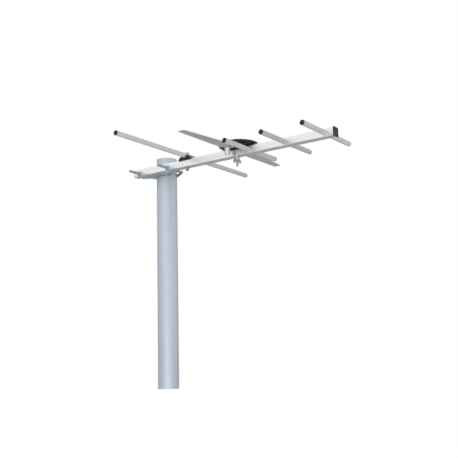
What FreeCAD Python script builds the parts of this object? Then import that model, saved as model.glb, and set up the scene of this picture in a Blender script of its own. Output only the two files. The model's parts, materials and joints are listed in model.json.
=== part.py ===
import FreeCAD, Part
import math
import os

# Small UHF yagi antenna clamped to a short mast tube.
# Frame: the mast axis is Z and the mast foot is the origin.
# X runs forward along the boom to the directors, and -Y is the side away from the mast.
# Pieces of the antenna are drawn about the boom axis at the mast and moved up together.

# Fits, per side
FIT = 0.1
HOLE_CLEARANCE = 0.3
MAST_CLEARANCE = 0.3

# Mast tube
MAST_DIAMETER = 38.0
MAST_WALL = 2.0
MAST_BELOW_BOOM = 399.0
MAST_ABOVE_BOOM = 26.5

# Boom, a square tube
BOOM_SIDE = 14.0
BOOM_WALL = 1.2
BOOM_CORNER = 1.4
BOOM_PAST_DIRECTOR = 15.8
BOOM_PAST_CLAMP = 13.6
BOOM_CAP_FLANGE = 1.2
BOOM_CAP_OVERHANG = 0.9
BOOM_CAP_PLUG = 9.0
BOOM_CAP_WALL = 1.2
BOOM_CAP_BORDER = 2.0
BOOM_CAP_RECESS_SHARE = 0.4
BOOM_REAR_CAP_FLANGE = 0.8
BOOM_REAR_CAP_INSET = 0.1

# Round element tubes and their end plugs
TUBE_DIAMETER = 8.6
TUBE_WALL = 0.9
TUBE_CAP_FLANGE = 0.8
TUBE_CAP_PLUG = 6.0
TUBE_CAP_CROWN = 0.5

# Reflector on its saddle
REFLECTOR_FROM_MAST = 74.0
REFLECTOR_LENGTH = 372.4
SADDLE_FLOOR = 2.8
SADDLE_SHOULDER = 0.2
SADDLE_FOOT_LENGTH = 27.0
SADDLE_TOP_LENGTH = 14.5
SADDLE_EDGE = 1.2
SADDLE_LIP = 1.4
SADDLE_LIP_DROP = 1.8

# Directors through the boom
DIRECTOR_1_FROM_DIPOLE = 28.5
DIRECTOR_2_FROM_1 = 71.9
DIRECTOR_3_FROM_2 = 76.1
DIRECTOR_LENGTH = 153.0
RIVET_DIAMETER = 3.2
RIVET_HEAD_DIAMETER = 5.4
RIVET_HEAD = 1.3
RIVET_HEAD_EDGE = 0.5
RIVET_TAIL_DIAMETER = 4.4
RIVET_TAIL = 2.2
RIVET_TAIL_TAPER = 0.8

# Driven element, two flat blades under a round housing
DIPOLE_FROM_REFLECTOR = 110.3
DIPOLE_SPAN = 288.8
BLADE_THICKNESS = 1.2
BLADE_LIFT = 0.3
BLADE_REAR = 15.0
BLADE_ROOT_WIDTH = 29.0
BLADE_TIP_WIDTH = 13.6
BLADE_CORNER = 1.5
BLADE_SCREW_INSET = 6.5
BLADE_SCREW_AHEAD = 5.0

# Housing base and lid
HOUSING_DIAMETER = 69.0
HOUSING_AHEAD = 3.8
HOUSING_FLOOR = 1.8
HOUSING_WALL = 2.2
HOUSING_FLARE_RISE = 2.2
HOUSING_FLARE_WIDTH = 4.5
HOUSING_BASE_HEIGHT = 4.1
HOUSING_SADDLE_LENGTH = 24.0
HOUSING_SKIRT = 3.0
HOUSING_SKIRT_DROP = 2.4
SEAL_THICKNESS = 0.6
SEAL_INSET = 0.2
LID_RIM = 1.0
LID_RISE = 6.6
LID_WALL = 1.8
LID_SPIGOT = 1.4
LID_SPIGOT_WALL = 1.4

# Balun board and core inside the housing
BOARD_CLEARANCE = 2.1
BOARD_WIDTH = 28.0
BOARD_THICKNESS = 1.2
BOARD_STANDOFF = 0.8
BOARD_PAST_SCREW = 3.95
STANDOFF_DIAMETER = 7.0
BOARD_BOLT_CLEARANCE = 1.0
CORE_LENGTH = 7.0
CORE_WIDTH = 12.0
CORE_HEIGHT = 3.6
CORE_HOLE = 2.0
CORE_HOLE_SPACING = 5.6
CORE_FROM_BOLT = 6.5

# Coaxial socket under the housing
SOCKET_BACK = 7.3
SOCKET_FROM_SKIRT = 1.55
SOCKET_THREAD_DIAMETER = 9.4
SOCKET_NECK_DIAMETER = 9.0
SOCKET_THREAD_LENGTH = 11.0
SOCKET_BORE = 6.8
SOCKET_MOUTH = 1.0
SOCKET_CHAMFER = 0.6
SOCKET_SHOULDER_DIAMETER = 12.4
SOCKET_NUT_FLATS = 11.0
SOCKET_NUT_HEIGHT = 2.4
SOCKET_RELIEF = 1.2
CONTACT_DIAMETER = 2.2
CONTACT_BORE = 1.0
CONTACT_BORE_DEPTH = 6.0

# Small screws and four millimetre bolts
BOLT_DIAMETER = 4.0
BOLT_FLATS = 7.0
BOLT_HEAD = 2.8
BOLT_NUT = 3.2
ROUND_HEAD_DIAMETER = 8.0
ROUND_HEAD = 1.8
ROUND_HEAD_CROWN = 1.2
BOLT_POINT = 0.5
BOLT_WASHER_DIAMETER = 9.0
BOLT_WASHER = 1.0
REFLECTOR_BOLT_PAST_NUT = 2.0
REFLECTOR_TOP_WASHER = 0.4
REFLECTOR_TOP_WASHER_SKIRT = 2.0
DIPOLE_BOLT_BELOW_BOOM = 17.0
BLADE_SCREW_DIAMETER = 3.0
BLADE_SCREW_HEAD_DIAMETER = 5.5
BLADE_SCREW_HEAD = 1.8
BLADE_SCREW_CROWN = 0.7
BLADE_NUT_FLATS = 5.5
BLADE_NUT = 2.4
BLADE_SCREW_PAST_NUT = 1.0

# Wing nut
WING_HUB_DIAMETER = 8.4
WING_HUB_TOP_DIAMETER = 6.6
WING_HUB_HEIGHT = 5.0
WING_THICKNESS = 1.6
WING_ROOT_RADIUS = 1.9
WING_TIP_RADIUS = 2.4
WING_TIP_OUT = 6.1
WING_TIP_DOWN = 7.4
WING_TURN_DEGREES = 70.0

# Mast clamp
ROD_DIAMETER = 5.0
ROD_BELOW_BOOM_AXIS = 2.0
LEG_FROM_MAST = 14.9
LEG_PAST_BOOM = 28.0
V_CORNER_BEHIND_MAST = 3.9
V_CORNER_RADIUS = 7.0
V_APEX_RADIUS = 9.0
CLAMP_WASHER_DIAMETER = 10.0
CLAMP_WASHER = 1.0
CLAMP_NUT_FLATS = 8.0
CLAMP_NUT = 4.0
JAW_MAST_GAP = 5.1
JAW_SHEET = 2.0
JAW_HEIGHT = 16.0
JAW_BEND = 1.0
JAW_PAST_LEG = 6.5
JAW_END_FLAT = 3.0
JAW_DEPTH = 13.6
JAW_TIP_FLAT = 2.5
JAW_V_HALF_ANGLE = 56.0
JAW_V_FLOOR = 4.0
TOOTH_PITCH = 2.4
TOOTH_DEPTH = 1.2

# Levels and places that follow from the sizes above
MAST_RADIUS = MAST_DIAMETER / 2
BOOM_HALF = BOOM_SIDE / 2
TUBE_RADIUS = TUBE_DIAMETER / 2
MAST_Y = BOOM_HALF + JAW_MAST_GAP + MAST_RADIUS
LEG_X = MAST_RADIUS + LEG_FROM_MAST
BOOM_REAR_X = -(LEG_X + BOOM_PAST_CLAMP)
REFLECTOR_X = REFLECTOR_FROM_MAST
DIPOLE_X = REFLECTOR_X + DIPOLE_FROM_REFLECTOR
DIRECTOR_1_X = DIPOLE_X + DIRECTOR_1_FROM_DIPOLE
DIRECTOR_2_X = DIRECTOR_1_X + DIRECTOR_2_FROM_1
DIRECTOR_3_X = DIRECTOR_2_X + DIRECTOR_3_FROM_2
DIRECTORS = {"director_1": DIRECTOR_1_X, "director_2": DIRECTOR_2_X, "director_3": DIRECTOR_3_X}
BOOM_FRONT_X = DIRECTOR_3_X + BOOM_PAST_DIRECTOR
REFLECTOR_Z = BOOM_HALF + SADDLE_FLOOR + FIT + TUBE_RADIUS
BLADE_BOTTOM = BOOM_HALF + BLADE_LIFT
BASE_BOTTOM = BLADE_BOTTOM + BLADE_THICKNESS
FLOOR_TOP = BASE_BOTTOM + HOUSING_FLOOR
BASE_TOP = BASE_BOTTOM + HOUSING_BASE_HEIGHT
LID_BOTTOM = BASE_TOP + SEAL_THICKNESS
HOUSING_X = DIPOLE_X + HOUSING_AHEAD
HOUSING_RADIUS = HOUSING_DIAMETER / 2
LID_SPIGOT_DIAMETER = HOUSING_DIAMETER - 2 * HOUSING_WALL - 2 * FIT
LID_HOLLOW = LID_SPIGOT_DIAMETER - 2 * LID_SPIGOT_WALL
SKIRT_Y = BOOM_HALF + FIT + HOUSING_SKIRT
BOARD_HALF_LENGTH = math.sqrt((LID_HOLLOW / 2 - BOARD_CLEARANCE) ** 2 - (BOARD_WIDTH / 2) ** 2)
BLADE_SCREW_Y = BOARD_HALF_LENGTH - BOARD_PAST_SCREW
BLADE_ROOT_Y = BLADE_SCREW_Y - BLADE_SCREW_INSET
BLADE_SCREW_X = DIPOLE_X + BLADE_SCREW_AHEAD
BOARD_BOTTOM = FLOOR_TOP + BOARD_STANDOFF
BOARD_TOP = BOARD_BOTTOM + BOARD_THICKNESS
SOCKET_X = DIPOLE_X - SOCKET_BACK
SOCKET_Y = -(SKIRT_Y + SOCKET_FROM_SKIRT + SOCKET_NUT_FLATS / math.sqrt(3))
SOCKET_NUT_BOTTOM = BASE_BOTTOM - SOCKET_NUT_HEIGHT
SOCKET_BOTTOM = SOCKET_NUT_BOTTOM - SOCKET_THREAD_LENGTH
SIDES = {"near": -1, "far": 1}
PARALLEL = 0.01


def point(x, y, z):
    return FreeCAD.Vector(x, y, z)


def cylinder(diameter, start, end):
    """Round bar between two points on its axis."""
    axis = end - start
    return Part.makeCylinder(diameter / 2, axis.Length, start, axis)


def ring(outer, inner, start, end):
    """Round tube or washer between two points on its axis."""
    return cylinder(outer, start, end).cut(cylinder(inner, start, end))


def block(low, high):
    """Box between two opposite corners."""
    size = high - low
    return Part.makeBox(size.x, size.y, size.z, low)


def prism(outline, travel):
    """Solid swept straight along a vector from a closed outline of points."""
    wire = Part.makePolygon(outline + [outline[0]])
    return Part.Face(wire).extrude(travel)


def hexagon(flats, start, end):
    """Hexagonal bar between two points on its axis, with a flat across its second direction."""
    axis = end - start
    corner = flats / math.sqrt(3)
    angles = [math.radians(60 * step) for step in range(6)]
    outline = [point(corner * math.cos(a), corner * math.sin(a), 0) for a in angles]
    bar = prism(outline, point(0, 0, axis.Length))
    bar.Placement = FreeCAD.Placement(start, FreeCAD.Rotation(point(0, 0, 1), axis))
    return bar


def hex_nut(flats, bore, start, end):
    """Hexagonal nut whose corners are turned down at both faces."""
    axis = end - start
    corner = flats / math.sqrt(3)
    drop = (corner - flats / 2) * math.tan(math.radians(30))
    profile = [(bore / 2, 0), (flats / 2, 0), (corner, drop), (corner, axis.Length - drop),
               (flats / 2, axis.Length), (bore / 2, axis.Length)]
    turned = revolved(profile, point(0, 0, 0))
    turned.Placement = FreeCAD.Placement(start, FreeCAD.Rotation(point(0, 0, 1), axis))
    return hexagon(flats, start, end).common(turned)


def revolved(profile, centre):
    """Solid turned about a vertical axis from (radius, height) points."""
    outline = [point(radius, 0, height) for radius, height in profile]
    wire = Part.makePolygon(outline + [outline[0]])
    solid = Part.Face(wire).revolve(point(0, 0, 0), point(0, 0, 1), 360)
    return solid.translated(centre)


def edges_along(solid, direction):
    """Straight edges of a solid that run along a unit direction, either way."""
    edges = []
    for edge in solid.Edges:
        run = edge.tangentAt(edge.FirstParameter).cross(direction)
        if run.Length < PARALLEL:
            edges.append(edge)
    return edges


def square_bar(side, corner, start_x, end_x):
    """Square bar along the boom axis with rounded long edges."""
    half = side / 2
    bar = block(point(start_x, -half, -half), point(end_x, half, half))
    return bar.makeFillet(corner, edges_along(bar, point(1, 0, 0)))


def rounded_path(corners, radii):
    """Wire of straight runs through the corner points, joined by tangent arcs of the given radii."""
    edges = []
    last = corners[0]
    for before, corner, after, radius in zip(corners, corners[1:], corners[2:], radii):
        back = (before - corner).normalize()
        ahead = (after - corner).normalize()
        half_turn = (math.pi - back.getAngle(ahead)) / 2
        reach = radius * math.tan(half_turn)
        inward = (back + ahead).normalize()
        middle = corner + inward * (radius / math.cos(half_turn) - radius)
        start = corner + back * reach
        end = corner + ahead * reach
        edges.append(Part.LineSegment(last, start).toShape())
        edges.append(Part.Arc(start, middle, end).toShape())
        last = end
    edges.append(Part.LineSegment(last, corners[-1]).toShape())
    return Part.Wire(edges)


def make_mast():
    foot = point(0, MAST_Y, -MAST_BELOW_BOOM)
    top = point(0, MAST_Y, MAST_ABOVE_BOOM)
    return ring(MAST_DIAMETER, MAST_DIAMETER - 2 * MAST_WALL, foot, top)


def make_boom():
    inner_side = BOOM_SIDE - 2 * BOOM_WALL
    inner_corner = max(BOOM_CORNER - BOOM_WALL, FIT)
    tube = square_bar(BOOM_SIDE, BOOM_CORNER, BOOM_REAR_X, BOOM_FRONT_X)
    tube = tube.cut(square_bar(inner_side, inner_corner, BOOM_REAR_X, BOOM_FRONT_X))
    for x in DIRECTORS.values():
        hole = TUBE_DIAMETER + 2 * FIT
        tube = tube.cut(cylinder(hole, point(x, -BOOM_SIDE, 0), point(x, BOOM_SIDE, 0)))
        rivet_hole = RIVET_DIAMETER + 2 * HOLE_CLEARANCE
        tube = tube.cut(cylinder(rivet_hole, point(x, 0, -BOOM_SIDE), point(x, 0, 0)))
    for x in (REFLECTOR_X, DIPOLE_X):
        hole = BOLT_DIAMETER + 2 * HOLE_CLEARANCE
        tube = tube.cut(cylinder(hole, point(x, 0, -BOOM_SIDE), point(x, 0, BOOM_SIDE)))
    for x in (-LEG_X, LEG_X):
        hole = ROD_DIAMETER + 2 * HOLE_CLEARANCE
        start = point(x, -BOOM_SIDE, -ROD_BELOW_BOOM_AXIS)
        end = point(x, BOOM_SIDE, -ROD_BELOW_BOOM_AXIS)
        tube = tube.cut(cylinder(hole, start, end))
    return tube


def make_boom_cap(end_x, outward, flange, overhang):
    """Hollow plug with a flange on the end of the boom; outward is 1 at the front and -1 at the rear."""
    plug_side = BOOM_SIDE - 2 * BOOM_WALL - 2 * FIT
    hollow_side = plug_side - 2 * BOOM_CAP_WALL
    flange_side = BOOM_SIDE + 2 * overhang
    recess_side = flange_side - 2 * BOOM_CAP_BORDER
    inner_corner = max(BOOM_CORNER - BOOM_WALL, FIT)
    plug_end = end_x - outward * BOOM_CAP_PLUG
    hollow_end = end_x - outward * BOOM_CAP_WALL
    flange_end = end_x + outward * flange
    recess_end = flange_end - outward * flange * BOOM_CAP_RECESS_SHARE
    cap = square_bar(flange_side, BOOM_CORNER, *sorted((end_x, flange_end)))
    cap = cap.cut(square_bar(recess_side, inner_corner, *sorted((recess_end, flange_end))))
    plug = square_bar(plug_side, inner_corner, *sorted((end_x, plug_end)))
    plug = plug.cut(square_bar(hollow_side, inner_corner, *sorted((hollow_end, plug_end))))
    return cap.fuse(plug).removeSplitter()


def element_tube(x, z, length):
    """Round element across the boom."""
    inner = TUBE_DIAMETER - 2 * TUBE_WALL
    return ring(TUBE_DIAMETER, inner, point(x, -length / 2, z), point(x, length / 2, z))


def make_tube_cap(x, z, length, side):
    """End plug of a round element: a crowned flange and a plug inside the tube."""
    plug = (TUBE_DIAMETER - 2 * TUBE_WALL - 2 * FIT) / 2
    edge = TUBE_RADIUS - TUBE_CAP_CROWN
    profile = [(0, -TUBE_CAP_PLUG), (plug, -TUBE_CAP_PLUG), (plug, 0), (TUBE_RADIUS, 0),
               (TUBE_RADIUS, TUBE_CAP_FLANGE - TUBE_CAP_CROWN), (edge, TUBE_CAP_FLANGE),
               (0, TUBE_CAP_FLANGE)]
    cap = revolved(profile, point(0, 0, 0))
    turn = FreeCAD.Rotation(point(0, 0, 1), point(0, side, 0))
    cap.Placement = FreeCAD.Placement(point(x, side * length / 2, z), turn)
    return cap


def make_reflector_tube():
    tube = element_tube(REFLECTOR_X, REFLECTOR_Z, REFLECTOR_LENGTH)
    hole = BOLT_DIAMETER + 2 * HOLE_CLEARANCE
    low = point(REFLECTOR_X, 0, REFLECTOR_Z - TUBE_DIAMETER)
    high = point(REFLECTOR_X, 0, REFLECTOR_Z + TUBE_DIAMETER)
    return tube.cut(cylinder(hole, low, high))


def make_reflector_saddle():
    """Plastic block with ramped ends that straddles the boom and cradles the reflector."""
    foot = SADDLE_FOOT_LENGTH / 2
    top = SADDLE_TOP_LENGTH / 2
    low = BOOM_HALF - SADDLE_LIP_DROP
    edge = BOOM_HALF + SADDLE_EDGE
    high = REFLECTOR_Z - SADDLE_SHOULDER
    half_width = BOOM_HALF + FIT + SADDLE_LIP
    heights = [(-foot, low), (foot, low), (foot, edge), (top, high), (-top, high), (-foot, edge)]
    outline = [point(REFLECTOR_X + x, -half_width, z) for x, z in heights]
    saddle = prism(outline, point(0, 2 * half_width, 0))
    slot_low = point(REFLECTOR_X - foot, -BOOM_HALF - FIT, low)
    slot_high = point(REFLECTOR_X + foot, BOOM_HALF + FIT, BOOM_HALF)
    saddle = saddle.cut(block(slot_low, slot_high))
    cradle = TUBE_DIAMETER + 2 * FIT
    start = point(REFLECTOR_X, -half_width, REFLECTOR_Z)
    end = point(REFLECTOR_X, half_width, REFLECTOR_Z)
    saddle = saddle.cut(cylinder(cradle, start, end))
    hole = BOLT_DIAMETER + 2 * HOLE_CLEARANCE
    return saddle.cut(cylinder(hole, point(REFLECTOR_X, 0, 0), point(REFLECTOR_X, 0, REFLECTOR_Z)))


def make_reflector_top_washer():
    """Round washer hollowed below to sit on the tube."""
    bottom = REFLECTOR_Z + REFLECTOR_TOP_WASHER_SKIRT
    top = REFLECTOR_Z + TUBE_RADIUS + REFLECTOR_TOP_WASHER
    bore = BOLT_DIAMETER + 2 * HOLE_CLEARANCE
    washer = ring(BOLT_WASHER_DIAMETER, bore, point(REFLECTOR_X, 0, bottom), point(REFLECTOR_X, 0, top))
    reach = BOLT_WASHER_DIAMETER
    start = point(REFLECTOR_X, -reach, REFLECTOR_Z)
    end = point(REFLECTOR_X, reach, REFLECTOR_Z)
    return washer.cut(cylinder(TUBE_DIAMETER + FIT, start, end))


def shank_profile(under_head, tip):
    """Outline of a bolt's shank from its turned-down end to its head."""
    radius = BOLT_DIAMETER / 2
    return [(0, tip), (radius - BOLT_POINT, tip), (radius, tip + BOLT_POINT), (radius, under_head)]


def make_hex_bolt(x, under_head, tip):
    """Upright hex bolt, head up."""
    shank = revolved(shank_profile(under_head, tip) + [(0, under_head)], point(x, 0, 0))
    head = hex_nut(BOLT_FLATS, 0, point(x, 0, under_head), point(x, 0, under_head + BOLT_HEAD))
    return shank.fuse(head).removeSplitter()


def make_round_bolt(x, under_head, tip):
    """Upright bolt with a low crowned head."""
    head = ROUND_HEAD_DIAMETER / 2
    top = under_head + ROUND_HEAD
    crown = [(head, under_head), (head, top - ROUND_HEAD_CROWN), (head - ROUND_HEAD_CROWN, top), (0, top)]
    return revolved(shank_profile(under_head, tip) + crown, point(x, 0, 0))


def make_bolt_washer(x):
    """Flat washer under the boom."""
    bore = BOLT_DIAMETER + 2 * HOLE_CLEARANCE
    low = point(x, 0, -BOOM_HALF - BOLT_WASHER)
    return ring(BOLT_WASHER_DIAMETER, bore, low, point(x, 0, -BOOM_HALF))


def reflector_fixing():
    washer_bottom = -BOOM_HALF - BOLT_WASHER
    nut_bottom = washer_bottom - BOLT_NUT
    under_head = REFLECTOR_Z + TUBE_RADIUS + REFLECTOR_TOP_WASHER
    nut_low = point(REFLECTOR_X, 0, nut_bottom)
    nut_high = point(REFLECTOR_X, 0, washer_bottom)
    return {
        "reflector_top_washer": make_reflector_top_washer(),
        "reflector_bolt": make_round_bolt(REFLECTOR_X, under_head, nut_bottom - REFLECTOR_BOLT_PAST_NUT),
        "reflector_bottom_washer": make_bolt_washer(REFLECTOR_X),
        "reflector_nut": hex_nut(BOLT_FLATS, BOLT_DIAMETER + 2 * FIT, nut_low, nut_high),
    }


def make_director_tube(x):
    tube = element_tube(x, 0, DIRECTOR_LENGTH)
    hole = RIVET_DIAMETER + 2 * FIT
    return tube.cut(cylinder(hole, point(x, 0, -TUBE_DIAMETER), point(x, 0, 0)))


def make_director_rivet(x):
    """Blind rivet from below, through the boom floor, with its tail swollen inside the tube."""
    shank = RIVET_DIAMETER / 2
    head = RIVET_HEAD_DIAMETER / 2
    tail = RIVET_TAIL_DIAMETER / 2
    face = -BOOM_HALF
    bottom = face - RIVET_HEAD
    inside = TUBE_RADIUS - TUBE_WALL
    neck_z = FIT - math.sqrt(inside ** 2 - shank ** 2)
    tail_z = FIT - math.sqrt(inside ** 2 - tail ** 2)
    end = tail_z + RIVET_TAIL
    profile = [(0, bottom), (shank, bottom), (head, face - RIVET_HEAD_EDGE), (head, face), (shank, face),
               (shank, neck_z), (tail, tail_z), (tail, end - RIVET_TAIL_TAPER), (shank, end), (0, end)]
    return revolved(profile, point(x, 0, 0))


def make_dipole_blade(side):
    """Flat blade that narrows from the housing to a straight-cut tip, with a straight rear edge."""
    rear = DIPOLE_X - BLADE_REAR
    root = side * BLADE_ROOT_Y
    tip = side * DIPOLE_SPAN / 2
    corners = [point(rear, root, BLADE_BOTTOM), point(rear, tip, BLADE_BOTTOM),
               point(rear + BLADE_TIP_WIDTH, tip, BLADE_BOTTOM),
               point(rear + BLADE_ROOT_WIDTH, root, BLADE_BOTTOM)]
    blade = prism(corners, point(0, 0, BLADE_THICKNESS))
    upright = edges_along(blade, point(0, 0, 1))
    tip_edges = [edge for edge in upright if abs(edge.CenterOfMass.y) > abs(root) + BLADE_CORNER]
    blade = blade.makeFillet(BLADE_CORNER, tip_edges)
    hole = BLADE_SCREW_DIAMETER + 2 * HOLE_CLEARANCE
    y = side * BLADE_SCREW_Y
    blade = blade.cut(cylinder(hole, point(BLADE_SCREW_X, y, 0), point(BLADE_SCREW_X, y, FLOOR_TOP)))
    return blade.cut(socket_notch())


def socket_notch():
    """Corner cut out of the near blade's root round the socket's nut, with a round inner corner."""
    reach = SOCKET_NUT_FLATS / math.sqrt(3) + SOCKET_RELIEF
    rear = DIPOLE_X - BLADE_REAR
    axis_top = point(SOCKET_X, SOCKET_Y, FLOOR_TOP)
    notch = cylinder(2 * reach, point(SOCKET_X, SOCKET_Y, 0), axis_top)
    notch = notch.fuse(block(point(rear, SOCKET_Y - reach, 0), point(SOCKET_X, 0, FLOOR_TOP)))
    return notch.fuse(block(point(SOCKET_X, SOCKET_Y, 0), point(SOCKET_X + reach, 0, FLOOR_TOP)))


def make_housing_base():
    """Round tray with a flared rim, and a saddle below that straddles the boom."""
    centre = point(HOUSING_X, 0, 0)
    floor = HOUSING_RADIUS - HOUSING_FLARE_WIDTH
    inside = HOUSING_RADIUS - HOUSING_WALL
    flare_top = BASE_BOTTOM + HOUSING_FLARE_RISE
    profile = [(0, BASE_BOTTOM), (floor, BASE_BOTTOM), (HOUSING_RADIUS, flare_top),
               (HOUSING_RADIUS, BASE_TOP), (inside, BASE_TOP), (inside, flare_top + HOUSING_FLOOR / 2),
               (floor, FLOOR_TOP), (0, FLOOR_TOP)]
    base = revolved(profile, centre)
    half = HOUSING_SADDLE_LENGTH / 2
    skirt_bottom = BOOM_HALF - HOUSING_SKIRT_DROP
    saddle_low = point(HOUSING_X - half, -SKIRT_Y, skirt_bottom)
    saddle = block(saddle_low, point(HOUSING_X + half, SKIRT_Y, FLOOR_TOP))
    slot_low = point(HOUSING_X - half, -BOOM_HALF - FIT, skirt_bottom)
    saddle = saddle.cut(block(slot_low, point(HOUSING_X + half, BOOM_HALF + FIT, BOOM_HALF)))
    base = base.fuse(saddle)
    for side in SIDES.values():
        y = side * BLADE_SCREW_Y
        seat = point(BLADE_SCREW_X, y, BOARD_BOTTOM)
        base = base.fuse(cylinder(STANDOFF_DIAMETER, point(BLADE_SCREW_X, y, BASE_BOTTOM), seat))
        hole = BLADE_SCREW_DIAMETER + 2 * HOLE_CLEARANCE
        base = base.cut(cylinder(hole, point(BLADE_SCREW_X, y, 0), seat))
    bolt_hole = BOLT_DIAMETER + 2 * HOLE_CLEARANCE
    base = base.cut(cylinder(bolt_hole, point(DIPOLE_X, 0, 0), point(DIPOLE_X, 0, FLOOR_TOP)))
    socket_hole = SOCKET_NECK_DIAMETER + 2 * FIT
    socket_low = point(SOCKET_X, SOCKET_Y, SOCKET_BOTTOM)
    base = base.cut(cylinder(socket_hole, socket_low, point(SOCKET_X, SOCKET_Y, FLOOR_TOP)))
    return base.removeSplitter()


def make_housing_seal():
    outer = HOUSING_DIAMETER - 2 * SEAL_INSET
    inner = HOUSING_DIAMETER - 2 * HOUSING_WALL
    return ring(outer, inner, point(HOUSING_X, 0, BASE_TOP), point(HOUSING_X, 0, LID_BOTTOM))


def dome(radius, rise, rim_z):
    """Solid cap of a sphere that stands on a circle at the given height."""
    sphere = (radius ** 2 + rise ** 2) / (2 * rise)
    ball = Part.makeSphere(sphere, point(HOUSING_X, 0, rim_z + rise - sphere))
    return ball.common(Part.makeCylinder(radius, rise, point(HOUSING_X, 0, rim_z)))


def make_housing_lid():
    """Shallow dome with a short rim and a spigot that plugs into the base."""
    rim_top = LID_BOTTOM + LID_RIM
    spigot_bottom = point(HOUSING_X, 0, LID_BOTTOM - LID_SPIGOT)
    rim = cylinder(HOUSING_DIAMETER, point(HOUSING_X, 0, LID_BOTTOM), point(HOUSING_X, 0, rim_top))
    lid = rim.fuse(dome(HOUSING_RADIUS, LID_RISE, rim_top))
    lid = lid.fuse(cylinder(LID_SPIGOT_DIAMETER, spigot_bottom, point(HOUSING_X, 0, LID_BOTTOM)))
    rise_inside = LID_RISE - LID_WALL + LID_RIM
    cavity = dome(LID_HOLLOW / 2, rise_inside, LID_BOTTOM)
    cavity = cavity.fuse(cylinder(LID_HOLLOW, spigot_bottom, point(HOUSING_X, 0, LID_BOTTOM)))
    return lid.cut(cavity).removeSplitter()


def make_balun_board():
    """Board across the housing, its corners clear of the lid's spigot, with a hole round the bolt head."""
    half_width = BOARD_WIDTH / 2
    low = point(HOUSING_X - half_width, -BOARD_HALF_LENGTH, BOARD_BOTTOM)
    board = block(low, point(HOUSING_X + half_width, BOARD_HALF_LENGTH, BOARD_TOP))
    head_hole = 2 * (BOLT_FLATS / math.sqrt(3) + BOARD_BOLT_CLEARANCE)
    board = board.cut(cylinder(head_hole, point(DIPOLE_X, 0, FLOOR_TOP), point(DIPOLE_X, 0, BOARD_TOP)))
    for side in SIDES.values():
        y = side * BLADE_SCREW_Y
        hole = BLADE_SCREW_DIAMETER + 2 * HOLE_CLEARANCE
        low = point(BLADE_SCREW_X, y, FLOOR_TOP)
        board = board.cut(cylinder(hole, low, point(BLADE_SCREW_X, y, BOARD_TOP)))
    return board


def make_balun_core():
    """Ferrite block with two holes for the transformer windings."""
    rear = DIPOLE_X + CORE_FROM_BOLT
    front = rear + CORE_LENGTH
    low = point(rear, -CORE_WIDTH / 2, BOARD_TOP)
    core = block(low, point(front, CORE_WIDTH / 2, BOARD_TOP + CORE_HEIGHT))
    middle = BOARD_TOP + CORE_HEIGHT / 2
    for side in SIDES.values():
        y = side * CORE_HOLE_SPACING / 2
        core = core.cut(cylinder(CORE_HOLE, point(rear, y, middle), point(front, y, middle)))
    return core


def make_blade_screw(side):
    """Pan-head screw from the board down through the base and the blade."""
    tip = BLADE_BOTTOM - BLADE_NUT - BLADE_SCREW_PAST_NUT
    shank = BLADE_SCREW_DIAMETER / 2
    head = BLADE_SCREW_HEAD_DIAMETER / 2
    top = BOARD_TOP + BLADE_SCREW_HEAD
    profile = [(0, tip), (shank, tip), (shank, BOARD_TOP), (head, BOARD_TOP),
               (head, top - BLADE_SCREW_CROWN), (head - BLADE_SCREW_CROWN, top), (0, top)]
    return revolved(profile, point(BLADE_SCREW_X, side * BLADE_SCREW_Y, 0))


def make_blade_nut(side):
    low = point(BLADE_SCREW_X, side * BLADE_SCREW_Y, BLADE_BOTTOM - BLADE_NUT)
    high = point(BLADE_SCREW_X, side * BLADE_SCREW_Y, BLADE_BOTTOM)
    return hex_nut(BLADE_NUT_FLATS, BLADE_SCREW_DIAMETER + 2 * FIT, low, high)


def make_socket_body():
    """Threaded barrel with a shoulder that rests on the housing floor."""
    thread = SOCKET_THREAD_DIAMETER / 2
    neck = SOCKET_NECK_DIAMETER / 2
    bore = SOCKET_BORE / 2
    shoulder = SOCKET_SHOULDER_DIAMETER / 2
    profile = [(bore, SOCKET_BOTTOM), (thread - SOCKET_CHAMFER, SOCKET_BOTTOM),
               (thread, SOCKET_BOTTOM + SOCKET_CHAMFER), (thread, SOCKET_NUT_BOTTOM),
               (neck, SOCKET_NUT_BOTTOM), (neck, FLOOR_TOP), (shoulder, FLOOR_TOP),
               (shoulder, BOARD_BOTTOM), (bore, BOARD_BOTTOM)]
    return revolved(profile, point(SOCKET_X, SOCKET_Y, 0))


def make_socket_nut():
    low = point(SOCKET_X, SOCKET_Y, SOCKET_NUT_BOTTOM)
    high = point(SOCKET_X, SOCKET_Y, BASE_BOTTOM)
    return hex_nut(SOCKET_NUT_FLATS, SOCKET_NECK_DIAMETER + 2 * FIT, low, high)


def make_socket_insulator():
    low = point(SOCKET_X, SOCKET_Y, SOCKET_BOTTOM + SOCKET_MOUTH)
    high = point(SOCKET_X, SOCKET_Y, BOARD_BOTTOM)
    return ring(SOCKET_BORE, CONTACT_DIAMETER, low, high)


def make_socket_contact():
    """Centre contact: a pin soldered to the board, with a blind hole at the mouth."""
    bottom = SOCKET_BOTTOM + SOCKET_MOUTH
    low = point(SOCKET_X, SOCKET_Y, bottom)
    contact = cylinder(CONTACT_DIAMETER, low, point(SOCKET_X, SOCKET_Y, BOARD_BOTTOM))
    return contact.cut(cylinder(CONTACT_BORE, low, point(SOCKET_X, SOCKET_Y, bottom + CONTACT_BORE_DEPTH)))


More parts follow.
